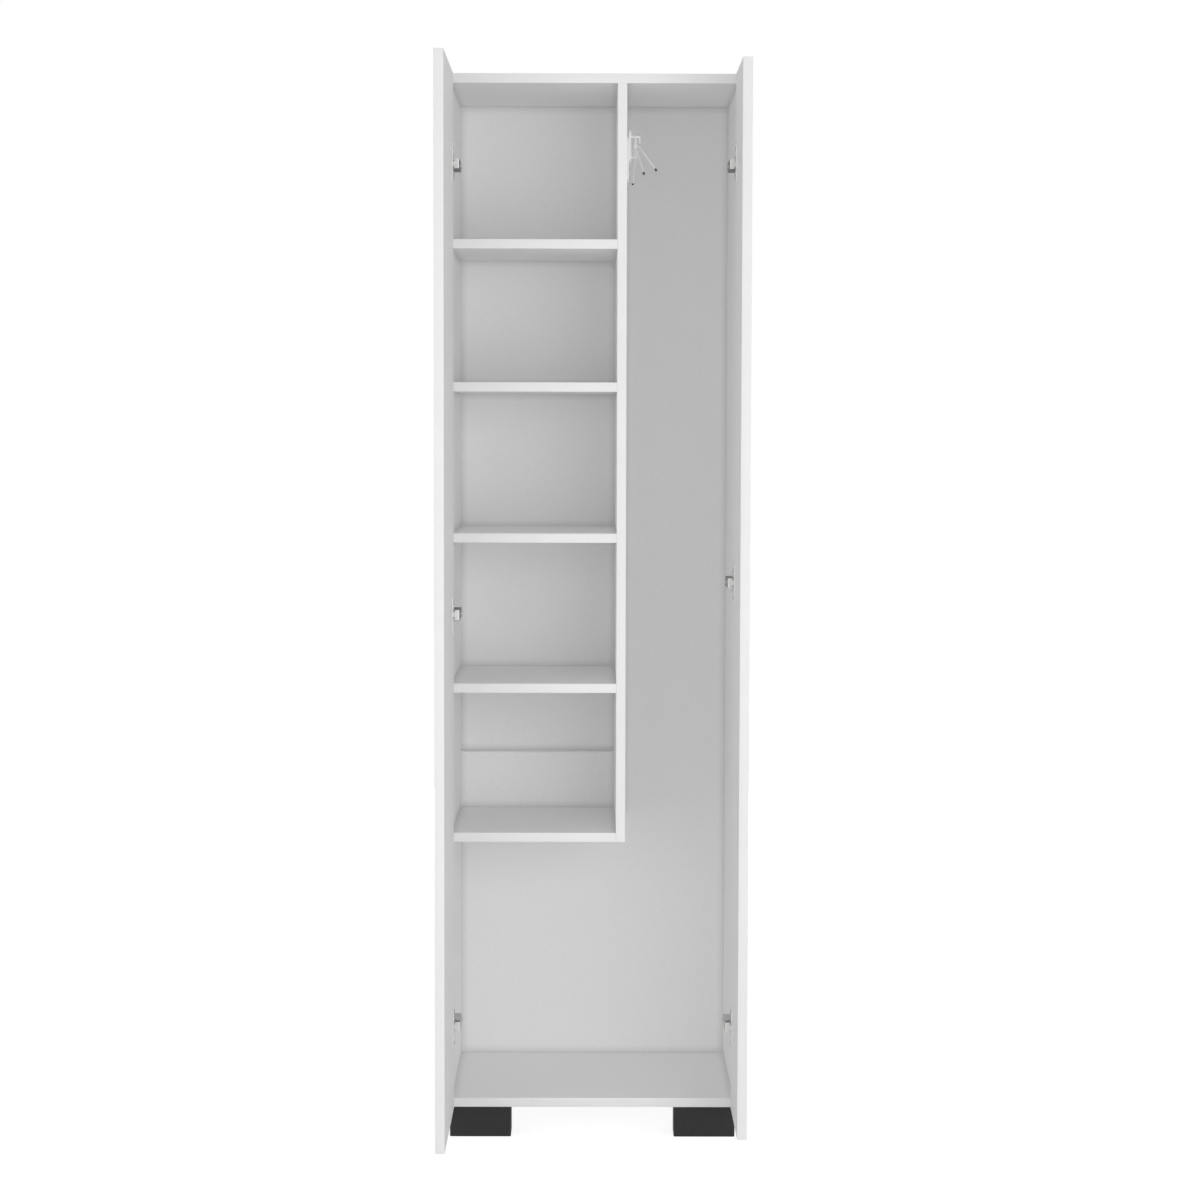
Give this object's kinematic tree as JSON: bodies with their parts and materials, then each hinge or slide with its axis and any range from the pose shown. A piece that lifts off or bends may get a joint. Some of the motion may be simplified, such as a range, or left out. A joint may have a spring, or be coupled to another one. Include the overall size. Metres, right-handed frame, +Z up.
{
  "type": "broom cupboard",
  "caption": "Tall free-standing broom cupboard with open doors on concealed hinges, a column of shelves beside a tall bay, block feet and a swivelling hook.",
  "frame": {"origin": "on the floor, at the centre of the footprint with the doors open at a right angle", "axes": "+Z up, +Y towards the back, +X to the right as seen from the front"},
  "size_m": [0.52, 0.6624, 1.83],
  "materials": {
    "white_board": "white melamine face on chipboard, fine grain, satin",
    "back_sheet": "white faced hardboard, smooth satin",
    "foot_plastic": "charcoal moulded plastic, matte",
    "hinge_steel": "nickel plated pressed steel, satin",
    "screw_steel": "zinc plated steel",
    "hook_metal": "bright plated steel",
    "tip_rubber": "black soft cap",
    "dowel_wood": "plain beech",
    "cover_plastic": "white, matte"
  },
  "bodies": {
    "carcass": {"back_nails": "screw_steel", "back_panel": "back_sheet", "back_rail": "white_board", "bottom_panel": "white_board", "divider": "white_board", "dowels": "dowel_wood", "foot_screws": "screw_steel", "front_left_foot": "foot_plastic", "front_right_foot": "foot_plastic", "hinge_arm_screws": "screw_steel", "hinge_plate_screws": "screw_steel", "hook_pin": "hook_metal", "hook_plate": "hook_metal", "hook_screws": "screw_steel", "left_bottom_hinge_arm": "hinge_steel", "left_bottom_hinge_plate": "hinge_steel", "left_middle_hinge_arm": "hinge_steel", "left_middle_hinge_plate": "hinge_steel", "left_side": "white_board", "left_top_hinge_arm": "hinge_steel", "left_top_hinge_plate": "hinge_steel", "low_shelf": "white_board", "panel_screws": "screw_steel", "rear_left_foot": "foot_plastic", "rear_right_foot": "foot_plastic", "right_bottom_hinge_arm": "hinge_steel", "right_bottom_hinge_plate": "hinge_steel", "right_middle_hinge_arm": "hinge_steel", "right_middle_hinge_plate": "hinge_steel", "right_side": "white_board", "right_top_hinge_arm": "hinge_steel", "right_top_hinge_plate": "hinge_steel", "screw_covers": "cover_plastic", "shelf_1": "white_board", "shelf_2": "white_board", "shelf_3": "white_board", "shelf_4": "white_board", "shelf_screws": "screw_steel", "top_panel": "white_board"},
    "left_door": {"left_door": "white_board", "left_top_hinge_cup": "hinge_steel", "left_middle_hinge_cup": "hinge_steel", "left_bottom_hinge_cup": "hinge_steel", "left_hinge_pins": "screw_steel", "left_cup_screws": "screw_steel"},
    "right_door": {"right_door": "white_board", "right_top_hinge_cup": "hinge_steel", "right_middle_hinge_cup": "hinge_steel", "right_bottom_hinge_cup": "hinge_steel", "right_hinge_pins": "screw_steel", "right_cup_screws": "screw_steel"},
    "hook_upper": {"hook_upper_arm": "hook_metal", "hook_upper_tip": "tip_rubber"},
    "hook_middle": {"hook_middle_arm": "hook_metal", "hook_middle_tip": "tip_rubber"},
    "hook_lower": {"hook_lower_arm": "hook_metal", "hook_lower_tip": "tip_rubber"}
  },
  "joints": [
    {"name": "left_door_hinge", "type": "hinge", "parent": "carcass", "child": "left_door", "pos_m": [-0.2507, -0.036, 0.937], "axis": [0, 0, -1], "range_deg": [-90, 10]},
    {"name": "right_door_hinge", "type": "hinge", "parent": "carcass", "child": "right_door", "pos_m": [0.2507, -0.036, 0.937], "axis": [0, 0, 1], "range_deg": [-90, 10]},
    {"name": "hook_upper_swing", "type": "hinge", "parent": "carcass", "child": "hook_upper", "pos_m": [0.0717, 0.0982, 1.7192], "axis": [0, 0, -1], "range_deg": [-156.2, 43.8]},
    {"name": "hook_middle_swing", "type": "hinge", "parent": "carcass", "child": "hook_middle", "pos_m": [0.0717, 0.0982, 1.7122], "axis": [0, 0, -1], "range_deg": [-177.6, 22.4]},
    {"name": "hook_lower_swing", "type": "hinge", "parent": "carcass", "child": "hook_lower", "pos_m": [0.0717, 0.0982, 1.7052], "axis": [0, 0, -1], "range_deg": [-6.6, 193.4]}
  ]
}
